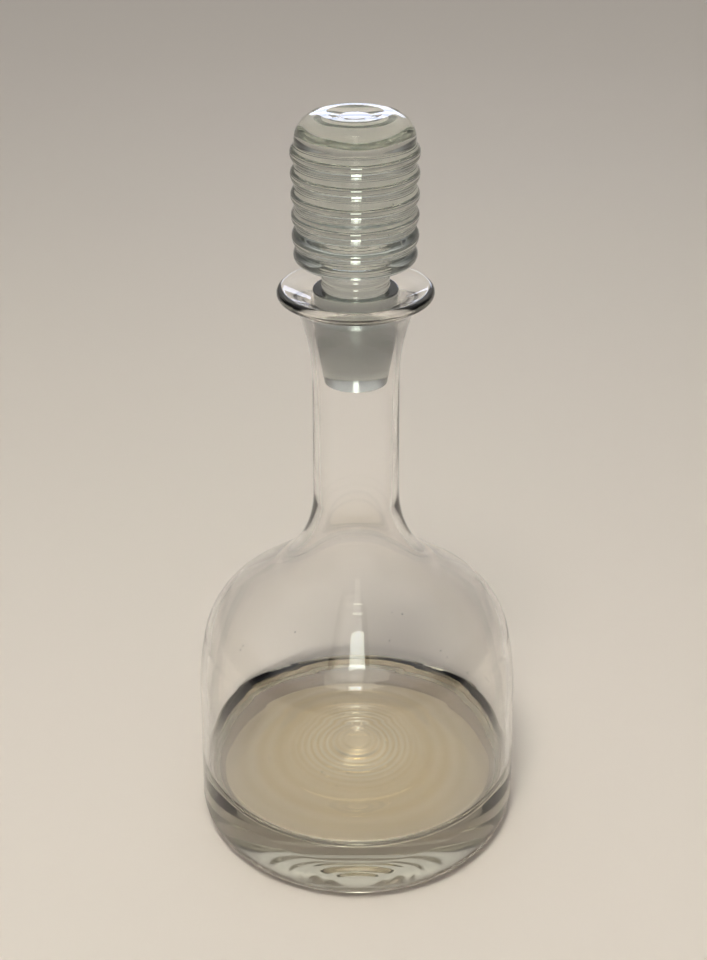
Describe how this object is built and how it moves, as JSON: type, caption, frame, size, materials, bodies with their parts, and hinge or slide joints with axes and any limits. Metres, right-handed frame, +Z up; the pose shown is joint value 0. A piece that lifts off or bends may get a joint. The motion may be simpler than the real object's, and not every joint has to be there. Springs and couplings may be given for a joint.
{
  "type": "wine decanter",
  "caption": "Clear glass wine decanter with a heavy-based round body, straight neck, flared lip and a lift-out solid stopper with a ribbed cylindrical head.",
  "frame": {"origin": "centre of the foot ring, on the surface that the decanter stands on", "axes": "+Z up along the common axis of the bottle and the stopper; both are round, so X and Y are free, with the pictured side taken as -Y"},
  "size_m": [0.1242, 0.1242, 0.2757],
  "materials": {
    "bottle_glass": "clear blown glass, fire polished, faint warm grey tint that deepens in the thick base",
    "stopper_glass": "clear solid glass with a grey-green tint and fine seeds, ground grey on the sides of the plug"
  },
  "bodies": {
    "bottle": {"bottle": "bottle_glass"},
    "stopper": {"stopper": "stopper_glass"}
  },
  "joints": [
    {"name": "stopper_lift", "type": "slide", "parent": "bottle", "child": "stopper", "axis": [0, 0, 1], "range_m": [0, 0.06]}
  ]
}
